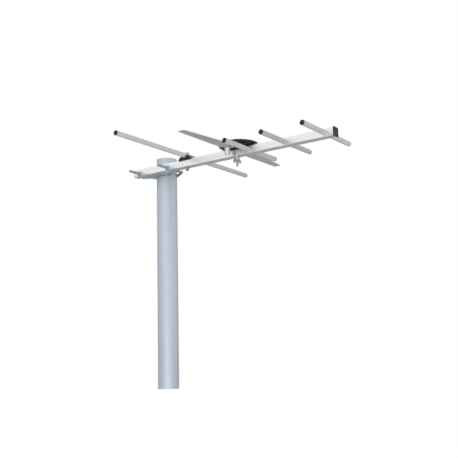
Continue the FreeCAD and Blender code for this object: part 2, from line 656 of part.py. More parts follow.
def make_wing_nut():
    """Wing nut turned against the washer, with both wings bent away from the boom."""
    face = -BOOM_HALF - BOLT_WASHER
    wide = WING_HUB_DIAMETER / 2
    narrow = WING_HUB_TOP_DIAMETER / 2
    end = face - WING_HUB_HEIGHT
    nut = revolved([(0, face), (wide, face), (narrow, end), (0, end)], point(DIPOLE_X, 0, 0))
    for side in (-1, 1):
        nut = nut.fuse(wing(side, face))
    bore = BOLT_DIAMETER + 2 * FIT
    nut = nut.cut(cylinder(bore, point(DIPOLE_X, 0, end), point(DIPOLE_X, 0, face))).removeSplitter()
    return nut.rotated(point(DIPOLE_X, 0, 0), point(0, 0, 1), WING_TURN_DEGREES)


def wing(side, face):
    """Flat tab between a small root circle in the hub and a larger tip circle, joined by tangents."""
    root_x = WING_HUB_TOP_DIAMETER / 2
    root_z = face - WING_HUB_HEIGHT / 2
    run = point(WING_TIP_OUT - root_x, 0, face - WING_TIP_DOWN - root_z)
    slant = math.atan2(run.z, run.x)
    swing = math.acos((WING_ROOT_RADIUS - WING_TIP_RADIUS) / run.Length)

    def rim(centre_x, centre_z, radius, angle):
        x = side * (centre_x + radius * math.cos(angle))
        return point(DIPOLE_X + x, -WING_THICKNESS / 2, centre_z + radius * math.sin(angle))

    root = [rim(root_x, root_z, WING_ROOT_RADIUS, slant + a) for a in (swing, math.pi, -swing)]
    tip = [rim(root_x + run.x, root_z + run.z, WING_TIP_RADIUS, slant + a) for a in (-swing, 0, swing)]
    edges = [Part.Arc(*root), Part.LineSegment(root[2], tip[0]), Part.Arc(*tip),
             Part.LineSegment(tip[2], root[0])]
    wire = Part.Wire([edge.toShape() for edge in edges])
    return Part.Face(wire).extrude(point(0, WING_THICKNESS, 0))


def dipole_fixing():
    tip = -BOOM_HALF - DIPOLE_BOLT_BELOW_BOOM
    return {
        "dipole_bolt": make_hex_bolt(DIPOLE_X, FLOOR_TOP, tip),
        "dipole_washer": make_bolt_washer(DIPOLE_X),
        "wing_nut": make_wing_nut(),
    }


def make_clamp_v_bolt():
    """Rod bent to a V round the mast, its legs square to the boom."""
    z = -ROD_BELOW_BOOM_AXIS
    clear = MAST_RADIUS + MAST_CLEARANCE + ROD_DIAMETER / 2
    to_corner = math.hypot(LEG_X, V_CORNER_BEHIND_MAST)
    slope = math.asin(clear / to_corner) - math.atan2(V_CORNER_BEHIND_MAST, LEG_X)
    corner_y = MAST_Y + V_CORNER_BEHIND_MAST
    apex_y = corner_y + LEG_X * math.tan(slope)
    leg_end = -BOOM_HALF - LEG_PAST_BOOM
    corners = [point(-LEG_X, leg_end, z), point(-LEG_X, corner_y, z), point(0, apex_y, z),
               point(LEG_X, corner_y, z), point(LEG_X, leg_end, z)]
    path = rounded_path(corners, [V_CORNER_RADIUS, V_APEX_RADIUS, V_CORNER_RADIUS])
    section = Part.Wire(Part.makeCircle(ROD_DIAMETER / 2, corners[0], point(0, 1, 0)))
    return path.makePipeShell([section], True, True)


def toothed_flank(top, bottom):
    """Points down a flank of the notch, alternating between tooth tips and roots behind the line."""
    run = bottom - top
    outward = point(-run.y, run.x, 0).normalize()
    if outward.y > 0:
        outward = outward * -1
    count = max(int(run.Length / TOOTH_PITCH), 1)
    points = []
    for step in range(count):
        points.append(top + run * (step / count))
        points.append(top + run * ((step + 0.5) / count) + outward * TOOTH_DEPTH)
    points.append(bottom)
    return points


def jaw_flange(z):
    """Edge plate of the jaw: ramps up from both ends to a toothed V notch for the mast."""
    half_angle = math.radians(JAW_V_HALF_ANGLE)
    apex = MAST_Y - (MAST_RADIUS + MAST_CLEARANCE) / math.sin(half_angle)
    end = LEG_X + JAW_PAST_LEG
    sheet_top = BOOM_HALF + JAW_SHEET
    crest = BOOM_HALF + JAW_DEPTH
    floor = BOOM_HALF + JAW_V_FLOOR
    crest_x = (crest - apex) * math.tan(half_angle)
    floor_x = (floor - apex) * math.tan(half_angle)
    left = toothed_flank(point(-crest_x, crest, z), point(-floor_x, floor, z))
    right = [point(-tooth.x, tooth.y, z) for tooth in reversed(left)]
    outer = crest_x + JAW_TIP_FLAT
    rear = [point(-end, BOOM_HALF, z), point(-end, sheet_top, z), point(JAW_END_FLAT - end, sheet_top, z),
            point(-outer, crest, z)]
    front = [point(-corner.x, corner.y, z) for corner in reversed(rear)]
    return prism(rear + left + right + front, point(0, 0, JAW_SHEET))


def make_clamp_jaw():
    """Pressed channel: a web on the boom and two toothed edge plates towards the mast."""
    end = LEG_X + JAW_PAST_LEG
    half = JAW_HEIGHT / 2
    web = block(point(-end, BOOM_HALF, -half), point(end, BOOM_HALF + JAW_SHEET, half))
    jaw = web.fuse(jaw_flange(-half)).fuse(jaw_flange(half - JAW_SHEET)).removeSplitter()
    jaw = jaw.common(bend_envelope(end, half))
    for x in (-LEG_X, LEG_X):
        hole = ROD_DIAMETER + 2 * HOLE_CLEARANCE
        z = -ROD_BELOW_BOOM_AXIS
        jaw = jaw.cut(cylinder(hole, point(x, 0, z), point(x, BOOM_HALF + 2 * JAW_SHEET, z)))
    return jaw.removeSplitter()


def bend_envelope(end, half):
    """Bar that the folded sheet stays inside, with its two bent edges rounded."""
    bar = block(point(-end, BOOM_HALF, -half), point(end, BOOM_HALF + JAW_DEPTH, half))
    along = edges_along(bar, point(1, 0, 0))
    bent = [edge for edge in along if edge.CenterOfMass.y < BOOM_HALF + FIT]
    return bar.makeFillet(JAW_BEND, bent)


def clamp_fixing():
    pieces = {}
    z = -ROD_BELOW_BOOM_AXIS
    washer_y = -BOOM_HALF - CLAMP_WASHER
    for name, x in (("rear", -LEG_X), ("front", LEG_X)):
        bore = ROD_DIAMETER + 2 * HOLE_CLEARANCE
        face = point(x, -BOOM_HALF, z)
        seat = point(x, washer_y, z)
        pieces["clamp_washer_" + name] = ring(CLAMP_WASHER_DIAMETER, bore, seat, face)
        outer = point(x, washer_y - CLAMP_NUT, z)
        pieces["clamp_nut_" + name] = hex_nut(CLAMP_NUT_FLATS, ROD_DIAMETER + 2 * FIT, outer, seat)
    return pieces


def all_pieces():
    pieces = {
        "mast": make_mast(),
        "boom": make_boom(),
        "boom_front_cap": make_boom_cap(BOOM_FRONT_X, 1, BOOM_CAP_FLANGE, BOOM_CAP_OVERHANG),
        "boom_rear_cap": make_boom_cap(BOOM_REAR_X, -1, BOOM_REAR_CAP_FLANGE, -BOOM_REAR_CAP_INSET),
        "reflector_tube": make_reflector_tube(),
        "reflector_saddle": make_reflector_saddle(),
        "housing_base": make_housing_base(),
        "housing_seal": make_housing_seal(),
        "housing_lid": make_housing_lid(),
        "balun_board": make_balun_board(),
        "balun_core": make_balun_core(),
        "connector_body": make_socket_body(),
        "connector_nut": make_socket_nut(),
        "connector_insulator": make_socket_insulator(),
        "connector_contact": make_socket_contact(),
        "clamp_v_bolt": make_clamp_v_bolt(),
        "clamp_jaw": make_clamp_jaw(),
    }
    pieces.update(reflector_fixing())
    pieces.update(dipole_fixing())
    pieces.update(clamp_fixing())
    for name, side in SIDES.items():
        cap = make_tube_cap(REFLECTOR_X, REFLECTOR_Z, REFLECTOR_LENGTH, side)
        pieces["reflector_cap_" + name] = cap
        pieces["dipole_blade_" + name] = make_dipole_blade(side)
        pieces["blade_screw_" + name] = make_blade_screw(side)
        pieces["blade_nut_" + name] = make_blade_nut(side)
    for director, x in DIRECTORS.items():
        pieces[director + "_tube"] = make_director_tube(x)
        pieces[director + "_rivet"] = make_director_rivet(x)
        for name, side in SIDES.items():
            pieces[director + "_cap_" + name] = make_tube_cap(x, 0, DIRECTOR_LENGTH, side)
    return pieces


def main():
    os.makedirs("parts", exist_ok=True)
    lift = point(0, -MAST_Y, MAST_BELOW_BOOM)
    for name, shape in all_pieces().items():
        placed = shape.translated(lift)
        print(name, placed.ShapeType, len(placed.Solids), placed.isValid(), round(placed.Volume, 1))
        placed.exportStep(os.path.join("parts", name + ".step"))


main()
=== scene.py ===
"""Dresses the outdoor antenna.

Cuts the threads of the rod, bolts and socket, turns the mast, lid and rivets, gives every piece its metal or
plastic finish, and sets up the studio and the camera. All lengths are in metres.
"""

import json
import logging
import math
from dataclasses import dataclass
from enum import Enum
from typing import ClassVar

import bmesh
import bpy
import numpy as np
from mathutils import Matrix, Vector

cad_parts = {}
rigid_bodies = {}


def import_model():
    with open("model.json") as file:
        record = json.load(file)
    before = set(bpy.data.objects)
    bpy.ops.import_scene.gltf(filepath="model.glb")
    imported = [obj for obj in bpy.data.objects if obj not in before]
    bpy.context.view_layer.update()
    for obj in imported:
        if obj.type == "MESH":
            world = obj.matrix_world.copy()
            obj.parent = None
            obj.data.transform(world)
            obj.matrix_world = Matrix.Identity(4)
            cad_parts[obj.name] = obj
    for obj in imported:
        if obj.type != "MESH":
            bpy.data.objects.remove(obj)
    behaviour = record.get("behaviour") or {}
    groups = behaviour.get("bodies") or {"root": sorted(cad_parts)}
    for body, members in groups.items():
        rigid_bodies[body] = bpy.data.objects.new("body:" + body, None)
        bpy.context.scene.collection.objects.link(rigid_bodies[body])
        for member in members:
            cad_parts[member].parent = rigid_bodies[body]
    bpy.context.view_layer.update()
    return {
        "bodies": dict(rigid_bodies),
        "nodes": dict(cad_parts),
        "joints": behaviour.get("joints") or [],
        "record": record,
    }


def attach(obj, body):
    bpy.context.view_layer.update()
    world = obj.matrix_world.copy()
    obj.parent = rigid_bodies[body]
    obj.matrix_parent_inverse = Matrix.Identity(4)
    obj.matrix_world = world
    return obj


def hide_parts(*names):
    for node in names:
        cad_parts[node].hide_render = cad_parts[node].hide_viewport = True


LOG = logging.getLogger("antenna")

Colour = tuple[float, float, float]
Point = tuple[float, float, float]
Stretch = tuple[float, float, float]
Reach = tuple[float, float]
Socket = bpy.types.NodeSocket
Frame = dict[str, object]

# The boom's axis and half its width
BOOM_HEIGHT = 0.399
BOOM_SIDEWAYS = -0.0311
BOOM_HALF = 0.007

# The top of the housing's floor over the boom's axis, and the mast's outside radius
HOUSING_FLOOR_TOP = 0.0103
MAST_RADIUS = 0.019

# Mesh work: points closer than this are one, and edges that turn by more degrees stay sharp
MERGE_DISTANCE = 1e-7
SHARP_ANGLE = 35.0
NEVER_SHARP = 180.0

# The whole range of a share, and white for a world's background
SHARE: Reach = (0.0, 1.0)
WHITE = (1.0, 1.0, 1.0, 1.0)


class Lay(Enum):
    """Direction in which a metal surface was drawn or rolled."""

    ALONG_BOOM = 0
    ACROSS_BOOM = 1
    UP_MAST = 2

    def stretch(self, along: float, across: float) -> Stretch:
        """Gives texture scales that draw a pattern out along this direction.

        Args:
            along: cycles per metre along the direction.
            across: cycles per metre square to it.

        Returns:
            The scales for X, Y and Z.
        """
        scales = [across, across, across]
        scales[self.value] = along
        return (scales[0], scales[1], scales[2])


class Body(Enum):
    """The two bodies that the aim joint turns against each other."""

    MAST = "mast"
    ANTENNA = "antenna"


def even(scale: float) -> Stretch:
    """Gives the same texture scale on every axis."""
    return (scale, scale, scale)


@dataclass(frozen=True)
class Grain:
    """A cloudy pattern: cycles per metre on each axis, number of finer octaves and their strength."""

    stretch: Stretch
    detail: float = 3.0
    rough: float = 0.5


@dataclass(frozen=True)
class Relief:
    """Fine relief of a surface: share of the effect, and height of the pattern."""

    strength: float
    height: float


class NodeBench:
    """Adds and joins the shader nodes of one new material."""

    # Numbers of the colour mixing node's sockets, whose names repeat for every data type
    MIX_SHARE = 0
    MIX_LOW = 6
    MIX_HIGH = 7
    MIX_RESULT = 2

    def __init__(self, name: str) -> None:
        """Starts a material with its principled surface.

        Args:
            name: the material's name.
        """
        self.material = bpy.data.materials.new(name)
        self.material.use_nodes = True
        self.tree = self.material.node_tree
        self.surface = self.tree.nodes["Principled BSDF"]

    def node(self, kind: str, **settings: object) -> bpy.types.Node:
        """Adds a node and sets its options.

        Args:
            kind: the node's type.
            settings: value of each option.

        Returns:
            The node.
        """
        made = self.tree.nodes.new(kind)
        for option, value in settings.items():
            setattr(made, option, value)
        return made

    def feed(self, source: Socket, target: Socket) -> None:
        """Links one socket to another."""
        self.tree.links.new(source, target)

    def place(self, stretch: Stretch) -> Socket:
        """Gives Object coordinates, multiplied axis by axis.

        Args:
            stretch: cycles per metre on each axis.

        Returns:
            The coordinates.
        """
        where = self.node("ShaderNodeTexCoord")
        mapping = self.node("ShaderNodeMapping")
        mapping.inputs["Scale"].default_value = stretch
        self.feed(where.outputs["Object"], mapping.inputs["Vector"])
        return mapping.outputs["Vector"]

    def noise(self, grain: Grain) -> Socket:
        """Adds cloudy noise of one cycle per stretched unit.

        Args:
            grain: its scales, octaves and their strength.

        Returns:
            A value from 0 to 1, mostly near the middle.
        """
        made = self.node("ShaderNodeTexNoise")
        made.inputs["Scale"].default_value = 1.0
        made.inputs["Detail"].default_value = grain.detail
        made.inputs["Roughness"].default_value = grain.rough
        self.feed(self.place(grain.stretch), made.inputs["Vector"])
        return made.outputs["Fac"]

    def cells(self, stretch: Stretch) -> Socket:
        """Adds crystal-like cells.

        Args:
            stretch: cells per metre on each axis.

        Returns:
            One grey value for each cell.
        """
        made = self.node("ShaderNodeTexVoronoi")
        made.inputs["Scale"].default_value = 1.0
        self.feed(self.place(stretch), made.inputs["Vector"])
        grey = self.node("ShaderNodeRGBToBW")
        self.feed(made.outputs["Color"], grey.inputs["Color"])
        return grey.outputs["Val"]

    def span(self, value: Socket, reach: Reach, to: Reach) -> Socket:
        """Carries a value from one range to another and holds it at the ends.

        Args:
            value: the value to carry.
            reach: low and high of the range that it comes from.
            to: low and high of the range that it goes to.

        Returns:
            The carried value.
        """
        made = self.node("ShaderNodeMapRange")
        for name, number in zip(("From Min", "From Max", "To Min", "To Max"), (*reach, *to)):
            made.inputs[name].default_value = number
        self.feed(value, made.inputs["Value"])
        return made.outputs["Result"]

    def sum(self, first: Socket, second: Socket) -> Socket:
        """Adds two values.

        Args:
            first: one value.
            second: the other.

        Returns:
            Their sum.
        """
        made = self.node("ShaderNodeMath", operation="ADD")
        self.feed(first, made.inputs[0])
        self.feed(second, made.inputs[1])
        return made.outputs["Value"]

    def shade(self, share: Socket, low: Colour | Socket, high: Colour | Socket) -> Socket:
        """Mixes two colours by a share from 0 to 1.

        Args:
            share: the share of the second colour.
            low: colour, or colour socket, at 0.
            high: colour, or colour socket, at 1.

        Returns:
            The mixed colour.
        """
        made = self.node("ShaderNodeMix", data_type="RGBA")
        self.feed(share, made.inputs[self.MIX_SHARE])
        for index, colour in ((self.MIX_LOW, low), (self.MIX_HIGH, high)):
            if isinstance(colour, tuple):
                made.inputs[index].default_value = (*colour, 1.0)
            else:
                self.feed(colour, made.inputs[index])
        return made.outputs[self.MIX_RESULT]

    def colour(self, source: Socket) -> None:
        """Sends a colour to the surface."""
        self.feed(source, self.surface.inputs["Base Color"])

    def roughness(self, source: Socket) -> None:
        """Sends a value to the surface's roughness."""
        self.feed(source, self.surface.inputs["Roughness"])

    def bump(self, pattern: Socket, relief: Relief) -> None:
        """Raises the surface by a pattern from 0 to 1.

        Args:
            pattern: the pattern.
            relief: its strength and height.
        """
        made = self.node("ShaderNodeBump")
        made.inputs["Strength"].default_value = relief.strength
        made.inputs["Distance"].default_value = relief.height
        self.feed(pattern, made.inputs["Height"])
        self.feed(made.outputs["Normal"], self.surface.inputs["Normal"])

    def edge(self, colour: Colour) -> None:
        """Sets the colour that a metal takes at a grazing angle."""
        self.surface.inputs["Specular Tint"].default_value = (*colour, 1.0)

    def set(self, **numbers: float) -> None:
        """Sets surface sockets that are the same all over, named with _ for a blank."""
        for name, number in numbers.items():
            self.surface.inputs[name.replace("_", " ")].default_value = number


@dataclass(frozen=True)
class DrawnAluminium:
    """Bare drawn or rolled aluminium: fine lines along its lay, faint smudges and dull patches."""

    name: str
    lay: Lay
    bright: Colour
    dull: Colour
    roughness: float
    edge: Colour = (0.7, 0.7, 0.71)
    metallic: float = 1.0
    specular: float = 0.1
    line_along: float = 5.0
    line_across: float = 950.0
    line_detail: float = 1.0
    line_relief: Relief = Relief(0.25, 0.00002)
    band_longer: float = 2.0
    band_wider: float = 6.0
    band_detail: float = 2.0
    streak_reach: Reach = (0.75, 1.25)
    smudge: Grain = Grain(even(38.0), 5.0, 0.62)
    stain_reach: Reach = (0.56, 0.78)
    stain_share: Reach = (0.0, 0.35)
    gloss_reach: Reach = (0.35, 0.65)
    smoother: float = 0.05
    rougher: float = 0.08

    def build(self) -> bpy.types.Material:
        """Makes the material: lines and wider bands share out the two tones, and smudges dull them.

        Returns:
            The material.
        """
        bench = NodeBench(self.name)
        lines = bench.noise(Grain(self.lay.stretch(self.line_along, self.line_across), self.line_detail))
        band_along = self.line_along / self.band_longer
        band_across = self.line_across / self.band_wider
        bands = bench.noise(Grain(self.lay.stretch(band_along, band_across), self.band_detail))
        smudge = bench.noise(self.smudge)
        streak = bench.span(bench.sum(lines, bands), self.streak_reach, SHARE)
        streaked = bench.shade(streak, self.dull, self.bright)
        stain = bench.span(smudge, self.stain_reach, self.stain_share)
        bench.colour(bench.shade(stain, streaked, self.dull))
        gloss = (self.roughness - self.smoother, self.roughness + self.rougher)
        bench.roughness(bench.span(smudge, self.gloss_reach, gloss))
        bench.bump(lines, self.line_relief)
        bench.set(Metallic=self.metallic, Specular_IOR_Level=self.specular)
        bench.edge(self.edge)
        return bench.material


@dataclass(frozen=True)
class Galvanised:
    """Dull zinc coat on steel tube: soft spangle, runs along the tube and pale oxide clouds."""

    name: str
    bright: Colour = (0.59, 0.64, 0.715)
    dull: Colour = (0.51, 0.555, 0.63)
    oxide: Colour = (0.63, 0.67, 0.735)
    edge: Colour = (0.05, 0.06, 0.08)
    metallic: float = 0.8
    specular: float = 0.1
    spangle: Stretch = (170.0, 170.0, 119.0)
    spangle_reach: Reach = (0.2, 0.8)
    spangle_share: Reach = (0.25, 0.75)
    spangle_dulling: Reach = (0.0, 0.08)
    runs: Grain = Grain(Lay.UP_MAST.stretch(1.2, 150.0), 4.0, 0.6)
    runs_reach: Reach = (0.4, 0.6)
    runs_share: Reach = (0.0, 0.8)
    runs_relief: Relief = Relief(0.15, 0.00008)
    cloud: Grain = Grain((26.0, 26.0, 13.0), 5.0, 0.6)
    cloud_reach: Reach = (0.5, 0.75)
    cloud_share: Reach = (0.0, 0.7)
    gloss_reach: Reach = (0.3, 0.7)
    dullness: Reach = (0.48, 0.56)

    def build(self) -> bpy.types.Material:
        """Makes the material: crystals of two tones, brighter runs over them and oxide on top.

        Returns:
            The material.
        """
        bench = NodeBench(self.name)
        spangle = bench.cells(self.spangle)
        runs = bench.noise(self.runs)
        cloud = bench.noise(self.cloud)
        crystal_share = bench.span(spangle, self.spangle_reach, self.spangle_share)
        crystal = bench.shade(crystal_share, self.dull, self.bright)
        streaked = bench.shade(bench.span(runs, self.runs_reach, self.runs_share), crystal, self.bright)
        clouded = bench.span(cloud, self.cloud_reach, self.cloud_share)
        bench.colour(bench.shade(clouded, streaked, self.oxide))
        dullness = bench.span(cloud, self.gloss_reach, self.dullness)
        bench.roughness(bench.sum(bench.span(spangle, SHARE, self.spangle_dulling), dullness))
        bench.bump(runs, self.runs_relief)
        bench.set(Metallic=self.metallic, Specular_IOR_Level=self.specular)
        bench.edge(self.edge)
        return bench.material


@dataclass(frozen=True)
class ZincPlate:
    """Bright zinc plate on fasteners: blue-green cast with straw patches and fine grain."""

    name: str
    cold: Colour
    straw: Colour
    worn: Colour
    roughness: float
    metallic: float = 1.0
    patch: Grain = Grain(even(120.0), 3.0)
    patch_reach: Reach = (0.4, 0.7)
    patch_share: Reach = (0.0, 0.8)
    grain: Grain = Grain(even(1500.0), 2.0)
    grain_reach: Reach = (0.5, 0.8)
    grain_share: Reach = (0.0, 0.6)
    grain_relief: Relief = Relief(0.2, 0.00003)
    gloss_reach: Reach = (0.3, 0.7)
    smoother: float = 0.08
    rougher: float = 0.12

    def build(self) -> bpy.types.Material:
        """Makes the material: straw patches on the cold tone, and worn grain over both.

        Returns:
            The material.
        """
        bench = NodeBench(self.name)
        patch = bench.noise(self.patch)
        grain = bench.noise(self.grain)
        tint = bench.shade(bench.span(patch, self.patch_reach, self.patch_share), self.cold, self.straw)
        bench.colour(bench.shade(bench.span(grain, self.grain_reach, self.grain_share), tint, self.worn))
        gloss = (self.roughness - self.smoother, self.roughness + self.rougher)
        bench.roughness(bench.span(patch, self.gloss_reach, gloss))
        bench.bump(grain, self.grain_relief)
        bench.set(Metallic=self.metallic)
        return bench.material


@dataclass(frozen=True)
class MouldedPlastic:
    """Black weatherproof plastic: spark-eroded grain, flow gloss and pale scuffs."""

    name: str
    deep: Colour = (0.010, 0.010, 0.011)
    scuffed: Colour = (0.026, 0.026, 0.028)
    roughness: float = 0.44
    specular: float = 0.3
    grain: Grain = Grain(even(2300.0), 2.0)
    grain_relief: Relief = Relief(0.35, 0.00005)
    flow: Grain = Grain(even(60.0), 4.0, 0.6)
    flow_reach: Reach = (0.42, 0.72)
    gloss_reach: Reach = (0.7, 1.3)
    smoother: float = 0.08
    rougher: float = 0.14

    def build(self) -> bpy.types.Material:
        """Makes the material: flow marks pale the black, and flow and grain together dull its gloss.

        Returns:
            The material.
        """
        bench = NodeBench(self.name)
        grain = bench.noise(self.grain)
        flow = bench.noise(self.flow)
        bench.colour(bench.shade(bench.span(flow, self.flow_reach, SHARE), self.deep, self.scuffed))
        gloss = (self.roughness - self.smoother, self.roughness + self.rougher)
        bench.roughness(bench.span(bench.sum(flow, grain), self.gloss_reach, gloss))
        bench.bump(grain, self.grain_relief)
        bench.set(Specular_IOR_Level=self.specular)
        return bench.material


@dataclass(frozen=True)
class Mottled:
    """Any small even material seen close: two tones in a fine mottle, with its own gloss."""

    name: str
    first: Colour
    second: Colour
    metallic: float
    roughness: float
    scale: float
    edge: Colour = (1.0, 1.0, 1.0)
    detail: float = 4.0
    octave_strength: float = 0.6
    mottle_reach: Reach = (0.35, 0.65)
    gloss_reach: Reach = (0.3, 0.7)
    gloss_shares: Reach = (0.8, 1.25)
    relief: Relief = Relief(0.15, 0.00004)

    def build(self) -> bpy.types.Material:
        """Makes the material.

        Returns:
            The material.
        """
        bench = NodeBench(self.name)
        mottle = bench.noise(Grain(even(self.scale), self.detail, self.octave_strength))
        bench.colour(bench.shade(bench.span(mottle, self.mottle_reach, SHARE), self.first, self.second))
        gloss = (self.roughness * self.gloss_shares[0], self.roughness * self.gloss_shares[1])
        bench.roughness(bench.span(mottle, self.gloss_reach, gloss))
        bench.bump(mottle, self.relief)
        bench.set(Metallic=self.metallic)
        bench.edge(self.edge)
        return bench.material


class Finishes:
    """Every finish of the antenna, made once."""

    def __init__(self) -> None:
        """Builds the materials."""
        self.boom = DrawnAluminium("extruded_aluminium", Lay.ALONG_BOOM, bright=(0.90, 0.90, 0.905),
                                   dull=(0.78, 0.785, 0.795), roughness=0.33).build()
        self.tube = DrawnAluminium("drawn_tube_aluminium", Lay.ACROSS_BOOM, bright=(0.79, 0.79, 0.795),
                                   dull=(0.55, 0.555, 0.56), roughness=0.42, edge=(0.1, 0.1, 0.1),
                                   metallic=0.25, line_along=2.0, line_across=700.0).build()
        self.sheet = DrawnAluminium("rolled_sheet_aluminium", Lay.ACROSS_BOOM, bright=(0.89, 0.89, 0.895),
                                    dull=(0.80, 0.805, 0.81), roughness=0.26, line_across=520.0).build()
        self.mast = Galvanised("galvanised_steel_tube").build()
        self.zinc = ZincPlate("zinc_plated_steel", cold=(0.46, 0.56, 0.60), straw=(0.56, 0.62, 0.62),
                              worn=(0.33, 0.39, 0.42), roughness=0.34).build()
        self.rod = ZincPlate("zinc_plated_rod", cold=(0.31, 0.38, 0.40), straw=(0.39, 0.43, 0.43),
                             worn=(0.22, 0.26, 0.28), roughness=0.44).build()
        self.rivet = Mottled("rivet_aluminium", (0.58, 0.58, 0.59), (0.68, 0.68, 0.69),
                             metallic=1.0, roughness=0.4, scale=500.0).build()
        self.plastic = MouldedPlastic("moulded_black_plastic").build()
        self.nickel = Mottled("nickel_plate", (0.88, 0.875, 0.865), (0.94, 0.935, 0.93),
                              metallic=0.7, roughness=0.3, scale=420.0, edge=(0.1, 0.1, 0.1)).build()
        self.steel = Mottled("stainless_steel", (0.40, 0.405, 0.41), (0.50, 0.505, 0.51),
                             metallic=1.0, roughness=0.36, scale=420.0).build()
        self.insulator = Mottled("white_insulator", (0.80, 0.79, 0.74), (0.86, 0.85, 0.81),
                                 metallic=0.0, roughness=0.5, scale=600.0).build()
        self.brass = Mottled("contact_brass", (0.72, 0.53, 0.22), (0.82, 0.64, 0.30),
                             metallic=1.0, roughness=0.3, scale=700.0).build()
        self.board = Mottled("circuit_board", (0.03, 0.19, 0.07), (0.06, 0.26, 0.11),
                             metallic=0.0, roughness=0.4, scale=300.0).build()
        self.ferrite = Mottled("ferrite", (0.06, 0.058, 0.056), (0.11, 0.105, 0.10),
                               metallic=0.0, roughness=0.6, scale=900.0).build()
        self.rubber = Mottled("seal_rubber", (0.015, 0.015, 0.015), (0.03, 0.03, 0.03),
                              metallic=0.0, roughness=0.8, scale=800.0).build()


def smooth_step(value: np.ndarray) -> np.ndarray:
    """Eases a value from 0 to 1 and holds it at the ends."""
    held = np.clip(value, 0.0, 1.0)
    return held * held * (3 - 2 * held)


def even_turn(count: int) -> np.ndarray:
    """Gives evenly spaced angles of one turn, without the last."""
    return np.linspace(0.0, 2 * math.pi, count, endpoint=False)


def hexagon_radius(turn: np.ndarray, flats: float) -> np.ndarray:
    """Gives a hexagon's radius: half its flats over the cosine of the angle from a flat's middle."""
    from_flat = np.mod(turn, math.pi / 3) - math.pi / 6
    return flats / 2 / np.cos(from_flat)


@dataclass(frozen=True)
class Thread:
    """A screw thread on the outside of a rod: its groove's flanks and flat crest are shares of its depth."""

    radius: float
    depth: float
    pitch: float
    flank: float = 1.35
    crest: float = 0.175

    def cut(self, along: np.ndarray, turn: np.ndarray, share: np.ndarray) -> np.ndarray:
        """Works out the radius of the threaded rod.

        The radius is the outside radius less a groove that climbs one pitch for each turn. The groove is
        a triangle wave with a flat crest and root, and share fades it out.

        Args:
            along: distance along the rod.
            turn: angle round the rod in radians.
            share: 1 where the thread is full, 0 on the plain rod.

        Returns:
            The radius at each point.
        """
        phase = along / self.pitch - turn / (2 * math.pi)
        wave = np.abs(2 * (phase - np.floor(phase)) - 1)
        groove = np.clip(self.flank * wave - self.crest, 0.0, 1.0)
        return self.radius - self.depth * groove * share

    def run_out(self, inside: np.ndarray, turns: float) -> np.ndarray:
        """Eases the thread in over some turns, by the distance inside its end."""
        return smooth_step(inside / (turns * self.pitch))


@dataclass
class Shell:
    """A closed surface as a grid of points: rows along it and columns round it."""

    points: np.ndarray
    closed_rows: bool = False

    def faces(self) -> np.ndarray:
        """Joins each point with the next in its row and column, and closes every row.

        Returns:
            One row of four point numbers for each face.
        """
        rows, columns = self.points.shape[:2]
        number = np.arange(rows * columns).reshape(rows, columns)
        beside = np.roll(number, -1, axis=1)
        if self.closed_rows:
            below, below_beside = np.roll(number, -1, axis=0), np.roll(beside, -1, axis=0)
        else:
            number, below = number[:-1], number[1:]
            beside, below_beside = beside[:-1], beside[1:]
        return np.stack([number, beside, below_beside, below], axis=-1).reshape(-1, 4)

    def mesh(self, name: str, sharp: float) -> bpy.types.Mesh:
        """Makes the mesh, merges points that meet at poles, turns its faces out and shades it.

        Args:
            name: the mesh's name.
            sharp: edges that turn by more degrees than this stay sharp.

        Returns:
            The mesh.
        """
        mesh = bpy.data.meshes.new(name)
        mesh.from_pydata(self.points.reshape(-1, 3).tolist(), [], self.faces().tolist())
        work = bmesh.new()
        work.from_mesh(mesh)
        bmesh.ops.remove_doubles(work, verts=work.verts, dist=MERGE_DISTANCE)
        bmesh.ops.recalc_face_normals(work, faces=work.faces)
        work.to_mesh(mesh)
        work.free()
        mesh.shade_smooth()
        mesh.set_sharp_from_angle(angle=math.radians(sharp))
        return mesh


def turned(profile: np.ndarray, centre: Vector, columns: int, closed: bool) -> Shell:
    """Turns a profile about an upright axis: each point is the centre plus its radius round the turn.

    Args:
        profile: rows of radius and height.
        centre: foot of the axis.
        columns: number of points round the turn.
        closed: whether the profile's last point joins its first.

    Returns:
        The surface.
    """
    turn = even_turn(columns)
    radius, height = profile[:, :1], profile[:, 1:]
    x = centre.x + radius * np.cos(turn)
    y = centre.y + radius * np.sin(turn)
    z = centre.z + height + 0 * turn
    return Shell(np.stack([x, y, z], axis=-1), closed)


class SubAssembly:
    """Common work of the antenna's sub-assemblies: dressing CAD nodes and adding new pieces."""

    body: ClassVar[Body] = Body.ANTENNA

    def dress(self, frame: Frame, material: bpy.types.Material, *nodes: str) -> None:
        """Gives CAD nodes a finish.

        Args:
            material: the finish.
            nodes: names of the nodes.
        """
        for name in nodes:
            slots = frame["nodes"][name].data.materials
            slots.clear()
            slots.append(material)
            LOG.info("dressed %s in %s", name, material.name)

    def add(self, shell: Shell, name: str, material: bpy.types.Material, slot: str, node: str,
            sharp: float = SHARP_ANGLE) -> bpy.types.Object:
        """Adds a new piece that stands for a CAD node.

        Args:
            shell: its surface in the row frame.
            name: its name.
            material: its finish.
            slot: the record's material slot; not used.
            node: the CAD node that it stands for.
            sharp: edges that turn by more degrees than this stay sharp.

        Returns:
            The new object.
        """
        mesh = shell.mesh(name, sharp)
        mesh.materials.append(material)
        piece = bpy.data.objects.new(name, mesh)
        bpy.context.scene.collection.objects.link(piece)
        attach(piece, self.body.value)
        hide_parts(node)
        LOG.info("built %s: %d faces for %s", name, len(mesh.polygons), node)
        return piece


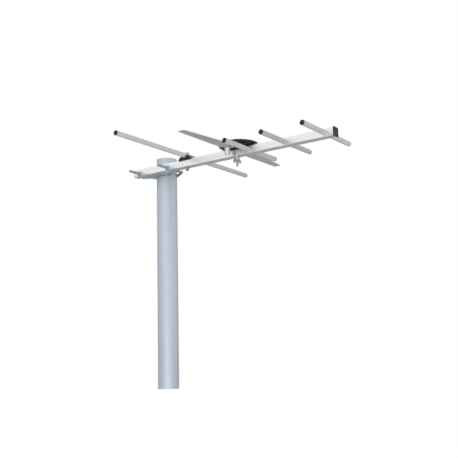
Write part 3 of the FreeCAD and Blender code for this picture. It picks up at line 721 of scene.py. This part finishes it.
@dataclass
class Mast(SubAssembly):
    """Galvanised tube with deburred lips."""

    body: ClassVar[Body] = Body.MAST
    outside: float = MAST_RADIUS
    inside: float = 0.017
    height: float = 0.4255
    lip: float = 0.0005
    lip_rows: int = 5
    columns: int = 160

    def wall(self) -> Shell:
        """Turns the tube's wall: a rectangle whose four corners are quarter circles.

        Returns:
            The surface.
        """
        quarter = np.linspace(0.0, math.pi / 2, self.lip_rows)
        outer, inner = self.outside - self.lip, self.inside + self.lip
        low, high = self.lip, self.height - self.lip
        centres = np.array([[outer, high], [inner, high], [inner, low], [outer, low]])
        angle = np.arange(len(centres))[:, None] * math.pi / 2 + quarter
        ring = self.lip * np.stack([np.cos(angle), np.sin(angle)], axis=-1)
        profile = (centres[:, None, :] + ring).reshape(-1, 2)
        return turned(profile, Vector((0.0, 0.0, 0.0)), self.columns, True)

    def make(self, frame: Frame, finishes: Finishes) -> None:
        """Builds the tube."""
        self.add(self.wall(), "mast_tube", finishes.mast, "galvanised_steel", "mast")


@dataclass
class BoomRail(SubAssembly):
    """Square boom and its end plugs."""

    def make(self, frame: Frame, finishes: Finishes) -> None:
        """Dresses the boom and its plugs."""
        self.dress(frame, finishes.boom, "boom")
        self.dress(frame, finishes.plastic, "boom_front_cap", "boom_rear_cap")


@dataclass(frozen=True)
class HexHead:
    """Hexagonal bolt head with turned corners, whose profile is in shares of its half flats and rise."""

    flats: float = 0.007
    rise: float = 0.0028
    radius_shares: tuple[float, ...] = (0.0, 0.92, 1.0, 1.2, 1.2)
    height_shares: tuple[float, ...] = (1.0, 1.0, 0.88, 0.7, 0.0)

    def rows(self, turn: np.ndarray) -> tuple[np.ndarray, np.ndarray]:
        """Carries the hexagon from the middle of the top to the seat.

        The radius is the hexagon's or the corner turning's, whichever is less.

        Args:
            turn: angles round the head.

        Returns:
            Radius and height over the seat at each point.
        """
        limit = np.array(self.radius_shares)[:, None] * self.flats / 2
        height = np.array(self.height_shares)[:, None] * self.rise
        return np.minimum(hexagon_radius(turn, self.flats), limit), height + 0 * turn


@dataclass(frozen=True)
class CrossHead:
    """Low crowned bolt head with a cross recess, whose sides and ends ease in over shares of its size."""

    radius: float = 0.004
    rise: float = 0.0018
    crown: float = 0.0012
    slot_half: float = 0.0005
    slot_reach: float = 0.0021
    slot_depth: float = 0.001
    side_start: float = 1.35
    side_ease: float = 0.7
    end_ease: float = 0.5
    flat_rows: int = 26
    rim_rows: int = 7

    def rows(self, turn: np.ndarray) -> tuple[np.ndarray, np.ndarray]:
        """Carries a polar grid from the middle of the head to its seat.

        The flat top curves down at the rim as a quarter ellipse. A cross of two grooves is sunk into it,
        whose depth eases to nothing at their sides and ends.

        Args:
            turn: angles round the head.

        Returns:
            Radius and height over the seat at each point.
        """
        flat = np.linspace(0.0, self.radius - self.crown, self.flat_rows)[:, None]
        across = np.minimum(np.abs(flat * np.cos(turn)), np.abs(flat * np.sin(turn)))
        side = smooth_step((self.slot_half * self.side_start - across) / (self.slot_half * self.side_ease))
        end = smooth_step((self.slot_reach - flat) / (self.slot_depth * self.end_ease))
        top = self.rise - self.slot_depth * side * end
        bend = np.linspace(0.0, math.pi / 2, self.rim_rows)[1:, None]
        rim_radius = self.radius - self.crown + self.crown * np.sin(bend)
        rim_height = self.rise - self.crown * (1 - np.cos(bend))
        radius = np.concatenate([flat, rim_radius, [[self.radius]]]) + 0 * turn
        height = np.concatenate([top, rim_height + 0 * turn, np.zeros((1, len(turn)))])
        return radius, height


@dataclass(frozen=True)
class ThreadedBolt:
    """Upright bolt with its head up: a threaded shank with a turned tip, in heights over the boom's axis."""

    x: float
    under_head: float
    tip: float
    head: HexHead | CrossHead
    thread: Thread = Thread(radius=0.002, depth=0.00036, pitch=0.0007)
    thread_length: float = 0.016
    run_out_turns: float = 2.0
    tip_turning: float = 0.8
    columns: int = 96
    rows_per_pitch: int = 10

    def shell(self) -> Shell:
        """Carries the section down the axis.

        Rows run from the middle of the head to the tip. The shank's radius is the thread's or that of the
        turned tip's cone, whichever is less.

        Returns:
            The surface.
        """
        turn = even_turn(self.columns)
        head_radius, head_height = self.head.rows(turn)
        length = self.under_head - self.tip
        count = int(length / self.thread.pitch * self.rows_per_pitch)
        along = np.linspace(0.0, length, count)[:, None]
        share = self.thread.run_out(along - (length - self.thread_length), self.run_out_turns)
        cone = self.thread.radius - self.thread.pitch * self.tip_turning + (length - along)
        radius = np.minimum(self.thread.cut(along, turn, share), cone)
        radii = np.concatenate([head_radius, radius, np.zeros((1, self.columns))])
        drop = np.concatenate([-head_height, along + 0 * turn, length + np.zeros((1, self.columns))])
        x = self.x + radii * np.cos(turn)
        y = BOOM_SIDEWAYS + radii * np.sin(turn)
        z = BOOM_HEIGHT + self.under_head - drop
        return Shell(np.stack([x, y, z], axis=-1))


@dataclass
class Reflector(SubAssembly):
    """Long tube on its saddle, with the bolt through both."""

    bolt: ThreadedBolt = ThreadedBolt(x=0.074, under_head=0.0189, tip=-0.0132, head=CrossHead())

    def make(self, frame: Frame, finishes: Finishes) -> None:
        """Dresses the tube and saddle and builds the bolt.

        Args:
            finishes: the finishes.
        """
        self.dress(frame, finishes.tube, "reflector_tube")
        self.dress(frame, finishes.plastic, "reflector_saddle", "reflector_cap_near", "reflector_cap_far")
        self.dress(frame, finishes.steel, "reflector_top_washer", "reflector_bottom_washer", "reflector_nut")
        self.add(self.bolt.shell(), "reflector_threaded_bolt", finishes.steel, "zinc_steel",
                 "reflector_bolt")


@dataclass(frozen=True)
class BlindRivet:
    """Blind rivet set from below: a low dome with the broken mandrel sunk in its middle."""

    x: float
    face: float = -BOOM_HALF
    head: float = 0.0027
    rise: float = 0.0013
    edge: float = 0.0005
    hole: float = 0.00105
    mandrel: float = 0.00085
    mandrel_sunk: float = 0.0005
    gap_depth: float = 0.0008
    shank: float = 0.0016
    neck: float = -0.0029
    tail: float = 0.0022
    tail_low: float = -0.00249
    tail_high: float = -0.00109
    end: float = -0.00029
    dome_rows: int = 10
    columns: int = 64

    def shell(self) -> Shell:
        """Turns the rivet: sunk mandrel, quarter ellipse of the dome, straight edge, shank and swollen tail.

        Returns:
            The surface.
        """
        bottom = self.face - self.rise
        middle = np.array([[0.0, bottom + self.mandrel_sunk], [self.mandrel, bottom + self.mandrel_sunk],
                           [self.mandrel, bottom + self.gap_depth], [self.hole, bottom + self.gap_depth]])
        bend = np.linspace(0.0, math.pi / 2, self.dome_rows)
        dome = np.stack([self.hole + (self.head - self.hole) * np.sin(bend),
                         bottom + (self.rise - self.edge) * (1 - np.cos(bend))], axis=-1)
        rest = np.array([[self.head, self.face], [self.shank, self.face], [self.shank, self.neck],
                         [self.tail, self.tail_low], [self.tail, self.tail_high], [self.shank, self.end],
                         [0.0, self.end]])
        foot = Vector((self.x, BOOM_SIDEWAYS, BOOM_HEIGHT))
        return turned(np.concatenate([middle, dome, rest]), foot, self.columns, False)


@dataclass
class Directors(SubAssembly):
    """Short tubes through the boom, each held by a rivet from below."""

    places: tuple[float, float, float] = (0.2128, 0.2847, 0.3608)

    def make(self, frame: Frame, finishes: Finishes) -> None:
        """Dresses the tubes and their caps and builds the rivets.

        Args:
            finishes: the finishes.
        """
        for number, x in enumerate(self.places, 1):
            director = f"director_{number}"
            self.dress(frame, finishes.tube, f"{director}_tube")
            self.dress(frame, finishes.plastic, f"{director}_cap_near", f"{director}_cap_far")
            rivet = BlindRivet(x).shell()
            self.add(rivet, f"{director}_set_rivet", finishes.rivet, "aluminium", f"{director}_rivet")


@dataclass
class ConnectionBox(SubAssembly):
    """Flat blades under a round housing, with the board inside and the fixing through the boom."""

    x: float = 0.1881
    radius: float = 0.0345
    lid_bottom: float = 0.0132
    rim: float = 0.001
    rise: float = 0.0066
    wall: float = 0.0018
    spigot: float = 0.0014
    spigot_outside: float = 0.0322
    spigot_inside: float = 0.0308
    groove_radius: float = 0.0262
    groove_half: float = 0.0011
    groove_depth: float = 0.0005
    gate_radius: float = 0.0022
    gate_ease: float = 0.0006
    gate_depth: float = 0.0004
    gate_zone: float = 0.003
    gate_rows: int = 9
    dome_start: float = 0.004
    dome_rows: int = 90
    hollow_rows: int = 24
    columns: int = 160
    lid_sharp: float = 30.0
    bolt: ThreadedBolt = ThreadedBolt(x=0.1843, under_head=HOUSING_FLOOR_TOP, tip=-0.024, head=HexHead())

    def dome(self, radius: np.ndarray, edge: float, rise: float) -> np.ndarray:
        """Gives a sphere cap's height over its edge.

        The sphere's radius is the edge's square plus the rise's square, over twice the rise.

        Args:
            radius: distance from the axis.
            edge: radius of the cap's edge.
            rise: height of the cap.

        Returns:
            The height at each distance.
        """
        sphere = (edge ** 2 + rise ** 2) / (2 * rise)
        return np.sqrt(sphere ** 2 - radius ** 2) - (sphere - rise)

    def lid(self) -> Shell:
        """Turns the lid: a dome with a ring groove and a gate mark, a rim, a spigot and the hollow inside.

        Returns:
            The surface.
        """
        out = np.concatenate([np.linspace(0.0, self.gate_zone, self.gate_rows),
                              np.linspace(self.dome_start, self.radius, self.dome_rows)])
        ring = smooth_step(1 - np.abs(out - self.groove_radius) / self.groove_half)
        gate = smooth_step((self.gate_radius - out) / self.gate_ease)
        top = self.lid_bottom + self.rim + self.dome(out, self.radius, self.rise)
        top = top - self.groove_depth * ring - self.gate_depth * gate
        inward = np.linspace(self.spigot_inside, 0.0, self.hollow_rows)
        hollow = self.lid_bottom + self.dome(inward, self.spigot_inside, self.rise - self.wall + self.rim)
        edge = np.array([[self.radius, self.lid_bottom], [self.spigot_outside, self.lid_bottom],
                         [self.spigot_outside, self.lid_bottom - self.spigot],
                         [self.spigot_inside, self.lid_bottom - self.spigot]])
        profile = np.concatenate([np.stack([out, top], axis=-1), edge, np.stack([inward, hollow], axis=-1)])
        return turned(profile, Vector((self.x, BOOM_SIDEWAYS, BOOM_HEIGHT)), self.columns, False)

    def make(self, frame: Frame, finishes: Finishes) -> None:
        """Dresses the blades, base and fixings and builds the lid and bolt.

        Args:
            finishes: the finishes.
        """
        self.dress(frame, finishes.sheet, "dipole_blade_near", "dipole_blade_far")
        self.dress(frame, finishes.plastic, "housing_base")
        self.dress(frame, finishes.rubber, "housing_seal")
        self.dress(frame, finishes.board, "balun_board")
        self.dress(frame, finishes.ferrite, "balun_core")
        self.dress(frame, finishes.rivet, "blade_screw_near", "blade_screw_far", "blade_nut_near",
                   "blade_nut_far")
        self.dress(frame, finishes.zinc, "dipole_washer", "wing_nut")
        self.add(self.lid(), "housing_moulded_lid", finishes.plastic, "black_plastic", "housing_lid",
                 self.lid_sharp)
        self.add(self.bolt.shell(), "dipole_threaded_bolt", finishes.zinc, "zinc_steel", "dipole_bolt")


@dataclass
class CoaxialSocket(SubAssembly):
    """Threaded nickel barrel under the housing, with its nut, insulator and contact."""

    x: float = 0.177
    y: float = -0.0491013
    bottom: float = -0.0049
    nut_bottom: float = 0.0061
    floor_top: float = HOUSING_FLOOR_TOP
    board_bottom: float = 0.0111
    neck: float = 0.0045
    shoulder: float = 0.0062
    bore: float = 0.0034
    chamfer: float = 0.0006
    thread: Thread = Thread(radius=0.0047, depth=0.0003, pitch=0.00079)
    run_out_turns: float = 1.0
    columns: int = 72
    rows: int = 150

    def barrel(self) -> Shell:
        """Carries the section up the axis.

        The barrel's radius is the thread's or the chamfer cone's, whichever is less. Above it come the neck
        and the shoulder, and the bore closes the section.

        Returns:
            The surface.
        """
        turn = even_turn(self.columns)
        length = self.nut_bottom - self.bottom
        along = np.linspace(0.0, length, self.rows)[:, None]
        share = self.thread.run_out(length - along, self.run_out_turns)
        radius = self.thread.cut(along, turn, share)
        radius = np.minimum(radius, self.thread.radius - self.chamfer + along)
        above = np.array([[self.neck, self.nut_bottom], [self.neck, self.floor_top],
                          [self.shoulder, self.floor_top], [self.shoulder, self.board_bottom],
                          [self.bore, self.board_bottom], [self.bore, self.bottom]])
        radii = np.concatenate([radius, above[:, :1] + 0 * turn])
        heights = np.concatenate([self.bottom + along, above[:, 1:]]) + 0 * turn
        x = self.x + radii * np.cos(turn)
        y = self.y + radii * np.sin(turn)
        return Shell(np.stack([x, y, BOOM_HEIGHT + heights], axis=-1), True)

    def make(self, frame: Frame, finishes: Finishes) -> None:
        """Dresses the small pieces and builds the barrel.

        Args:
            finishes: the finishes.
        """
        self.dress(frame, finishes.nickel, "connector_nut")
        self.dress(frame, finishes.insulator, "connector_insulator")
        self.dress(frame, finishes.brass, "connector_contact")
        self.add(self.barrel(), "connector_threaded_body", finishes.nickel, "nickel", "connector_body")


@dataclass
class MastClamp(SubAssembly):
    """Rod bent to a V round the mast, toothed jaw, washers and nuts."""

    leg_x: float = 0.0339
    leg_end: float = -0.0661
    corner_y: float = 0.0039
    height: float = -0.002
    mast_radius: float = MAST_RADIUS
    mast_gap: float = 0.0003
    corner_bend: float = 0.007
    apex_bend: float = 0.009
    bend_rows: int = 25
    thread: Thread = Thread(radius=0.0025, depth=0.00044, pitch=0.0008)
    thread_length: float = 0.044
    run_out_turns: float = 2.0
    chamfer: float = 0.0007
    columns: int = 32
    rows_per_pitch: int = 10

    def corners(self) -> np.ndarray:
        """Gives the rod's corner points: its slanted runs clear the mast, and meet on the mast's far side.

        Returns:
            Five points in the plane of the rod.
        """
        clear = self.mast_radius + self.mast_gap + self.thread.radius
        corner_angle = math.atan2(self.corner_y, self.leg_x)
        slope = math.asin(clear / math.hypot(self.leg_x, self.corner_y)) - corner_angle
        apex = self.corner_y + self.leg_x * math.tan(slope)
        return np.array([[-self.leg_x, self.leg_end], [-self.leg_x, self.corner_y], [0.0, apex],
                         [self.leg_x, self.corner_y], [self.leg_x, self.leg_end]])

    def bend(self, before: np.ndarray, corner: np.ndarray, after: np.ndarray, radius: float) -> np.ndarray:
        """Rounds a corner with an arc that touches both runs.

        Args:
            before: the point before the corner.
            corner: the corner.
            after: the point after it.
            radius: the arc's radius.

        Returns:
            Points along the arc.
        """
        back = (before - corner) / np.linalg.norm(before - corner)
        ahead = (after - corner) / np.linalg.norm(after - corner)
        half = math.acos(float(np.clip(back @ ahead, -1.0, 1.0))) / 2
        inward = (back + ahead) / np.linalg.norm(back + ahead)
        centre = corner + inward * radius / math.sin(half)
        side = (back - ahead) / np.linalg.norm(back - ahead)
        sweep = np.linspace(half - math.pi / 2, math.pi / 2 - half, self.bend_rows)[:, None]
        return centre - radius * (inward * np.cos(sweep) + side * np.sin(sweep))

    def path(self) -> np.ndarray:
        """Gives the rod's middle line: a leg, three bends and the other leg, with close rows on the legs.

        Returns:
            Points in the plane of the rod.
        """
        points = self.corners()
        bends = [self.bend(points[i - 1], points[i], points[i + 1], radius)
                 for i, radius in ((1, self.corner_bend), (2, self.apex_bend), (3, self.corner_bend))]
        leg_rows = int(self.thread_length / self.thread.pitch * self.rows_per_pitch)
        step = np.linspace(0.0, 1.0, leg_rows)[:, None]
        leg = np.array([0.0, self.thread_length])
        return np.concatenate([points[0] + step * leg, *bends, points[-1] + step[::-1] * leg])

    def rod(self) -> Shell:
        """Carries a round section along the bent rod and cuts the thread on both legs.

        Each row's centre lies on the path, its two section directions are the path's normal in the plane and
        the plane's own normal, and the radius is the thread's, less a chamfer cone at both ends.

        Returns:
            The surface.
        """
        path = self.path()
        gaps = np.linalg.norm(np.diff(path, axis=0), axis=1)
        along = np.concatenate([[0.0], np.cumsum(gaps)])[:, None]
        ahead = np.gradient(path, along[:, 0], axis=0)
        ahead /= np.linalg.norm(ahead, axis=1, keepdims=True)
        normal = np.stack([-ahead[:, 1], ahead[:, 0]], axis=-1)
        turn = even_turn(self.columns)
        from_end = np.minimum(along, along[-1] - along)
        share = self.thread.run_out(self.thread_length - from_end, self.run_out_turns)
        radius = self.thread.cut(along, turn, share)
        radius = np.minimum(radius, self.thread.radius - self.chamfer + from_end)
        pole = np.zeros((1, self.columns))
        radius = np.concatenate([pole, radius, pole])
        path = np.concatenate([path[:1], path, path[-1:]])
        normal = np.concatenate([normal[:1], normal, normal[-1:]])
        x = path[:, :1] + radius * np.cos(turn) * normal[:, :1]
        y = path[:, 1:] + radius * np.cos(turn) * normal[:, 1:]
        z = BOOM_HEIGHT + self.height + radius * np.sin(turn)
        return Shell(np.stack([x, y, z], axis=-1))

    def make(self, frame: Frame, finishes: Finishes) -> None:
        """Dresses the jaw, washers and nuts and builds the rod.

        Args:
            finishes: the finishes.
        """
        self.dress(frame, finishes.zinc, "clamp_jaw", "clamp_washer_rear", "clamp_washer_front",
                   "clamp_nut_rear", "clamp_nut_front")
        self.add(self.rod(), "clamp_threaded_v_bolt", finishes.rod, "zinc_steel", "clamp_v_bolt")


@dataclass(frozen=True)
class SoftLamp:
    """Square soft lamp: its place, the length of its side and its power in watts."""

    name: str
    place: Point
    side: float
    power: float

    def hang(self, aim: Point) -> bpy.types.Object:
        """Hangs the lamp so that it faces a point.

        Args:
            aim: the point.

        Returns:
            The lamp.
        """
        data = bpy.data.lights.new(self.name, "AREA")
        data.size = self.side
        data.energy = self.power
        lamp = bpy.data.objects.new(self.name, data)
        lamp.location = self.place
        lamp.rotation_mode = "QUATERNION"
        lamp.rotation_quaternion = (Vector(aim) - Vector(self.place)).to_track_quat("-Z", "Y")
        bpy.context.scene.collection.objects.link(lamp)
        return lamp


@dataclass
class Studio:
    """Pale floor, white surroundings, soft lamps and the camera, with its angles in degrees."""

    floor_radius: float = 13.4
    floor_drop: float = 1.5
    floor_rings: int = 12
    floor_columns: int = 96
    floor_paint: Mottled = Mottled("studio_floor_paint", (0.54, 0.54, 0.545), (0.56, 0.56, 0.565),
                                   metallic=0.0, roughness=0.8, scale=2.0)
    ambient: float = 0.66
    background: float = 1.0
    aim: Point = (0.15, -0.03, 0.35)
    lamps: tuple[SoftLamp, ...] = (SoftLamp("front_soft_lamp", (1.2, -2.1, 0.5), side=2.4, power=7.0),
                                   SoftLamp("top_soft_lamp", (0.4, 0.6, 2.2), side=1.4, power=1.5),
                                   SoftLamp("low_soft_lamp", (0.6, -0.9, -0.95), side=1.6, power=11.5))
    lens: float = 64.95
    sensor: float = 36.0
    nearest: float = 0.01
    place: Point = (0.97558, -1.16457, 0.00927)
    azimuth: float = 35.616
    pitch: float = 10.511
    roll: float = -1.264

    def floor(self) -> bpy.types.Object:
        """Lays a round pale floor well under the mast's foot, the same to every ray.

        Its points lie on rings, whose radius grows with the square of their number.

        Returns:
            The floor.
        """
        turn = even_turn(self.floor_columns)
        rings = np.linspace(0.0, 1.0, self.floor_rings)[:, None] ** 2 * self.floor_radius
        level = 0 * rings * turn - self.floor_drop
        points = np.stack([rings * np.cos(turn), rings * np.sin(turn), level], axis=-1)
        mesh = Shell(points).mesh("studio_floor", NEVER_SHARP)
        mesh.materials.append(self.floor_paint.build())
        sheet = bpy.data.objects.new("studio_floor", mesh)
        bpy.context.scene.collection.objects.link(sheet)
        return sheet

    def background_share(self, tree: bpy.types.NodeTree) -> Socket:
        """Finds the rays that see the white background: camera, glossy and transmission rays.

        Args:
            tree: the node tree to work in.

        Returns:
            1 for such a ray and 0 for any other.
        """
        ray = tree.nodes.new("ShaderNodeLightPath")
        share = ray.outputs["Is Camera Ray"]
        for kind in ("Is Glossy Ray", "Is Transmission Ray"):
            either = tree.nodes.new("ShaderNodeMath")
            either.operation = "MAXIMUM"
            tree.links.new(share, either.inputs[0])
            tree.links.new(ray.outputs[kind], either.inputs[1])
            share = either.outputs[0]
        return share

    def surroundings(self) -> None:
        """Makes the world: white to the camera and in reflections, softer as a light."""
        world = bpy.data.worlds.new("studio_surroundings")
        world.use_nodes = True
        tree = world.node_tree
        soft = tree.nodes["Background"]
        seen = tree.nodes.new("ShaderNodeBackground")
        for shader, strength in ((soft, self.ambient), (seen, self.background)):
            shader.inputs["Color"].default_value = WHITE
            shader.inputs["Strength"].default_value = strength
        mixed = tree.nodes.new("ShaderNodeMixShader")
        tree.links.new(self.background_share(tree), mixed.inputs[0])
        tree.links.new(soft.outputs[0], mixed.inputs[1])
        tree.links.new(seen.outputs[0], mixed.inputs[2])
        tree.links.new(mixed.outputs[0], tree.nodes["World Output"].inputs["Surface"])
        bpy.context.scene.world = world

    def camera(self) -> bpy.types.Object:
        """Places the camera at the photograph's angle, a little below the boom and looking up.

        Returns:
            The camera.
        """
        turn, tip, tilt = (math.radians(angle) for angle in (self.azimuth, self.pitch, self.roll))
        view = Vector((-math.sin(turn) * math.cos(tip), math.cos(turn) * math.cos(tip), math.sin(tip)))
        level = Vector((math.cos(turn), math.sin(turn), 0.0))
        upright = level.cross(view)
        right = level * math.cos(tilt) + upright * math.sin(tilt)
        up = upright * math.cos(tilt) - level * math.sin(tilt)
        data = bpy.data.cameras.new("photo_camera")
        data.lens = self.lens
        data.sensor_width = self.sensor
        data.clip_start = self.nearest
        camera = bpy.data.objects.new("photo_camera", data)
        turned_axes = Matrix((right, up, -view)).transposed().to_4x4()
        camera.matrix_world = Matrix.Translation(self.place) @ turned_axes
        bpy.context.scene.collection.objects.link(camera)
        bpy.context.scene.camera = camera
        return camera

    def make(self) -> None:
        """Sets the whole studio up."""
        bpy.context.scene.view_settings.view_transform = "Standard"
        self.floor()
        self.surroundings()
        for lamp in self.lamps:
            lamp.hang(self.aim)
        self.camera()
        LOG.info("studio ready")


def clear_start() -> None:
    """Removes what a new Blender file holds."""
    for thing in list(bpy.data.objects):
        bpy.data.objects.remove(thing)


def main() -> None:
    """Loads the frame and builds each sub-assembly."""
    logging.basicConfig(level=logging.INFO, format="%(name)s: %(message)s")
    clear_start()
    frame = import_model()
    finishes = Finishes()
    sub_assemblies = (Mast(), BoomRail(), Reflector(), Directors(), ConnectionBox(), CoaxialSocket(),
                      MastClamp())
    for sub_assembly in sub_assemblies:
        sub_assembly.make(frame, finishes)
    Studio().make()


if __name__ == "__main__":
    main()
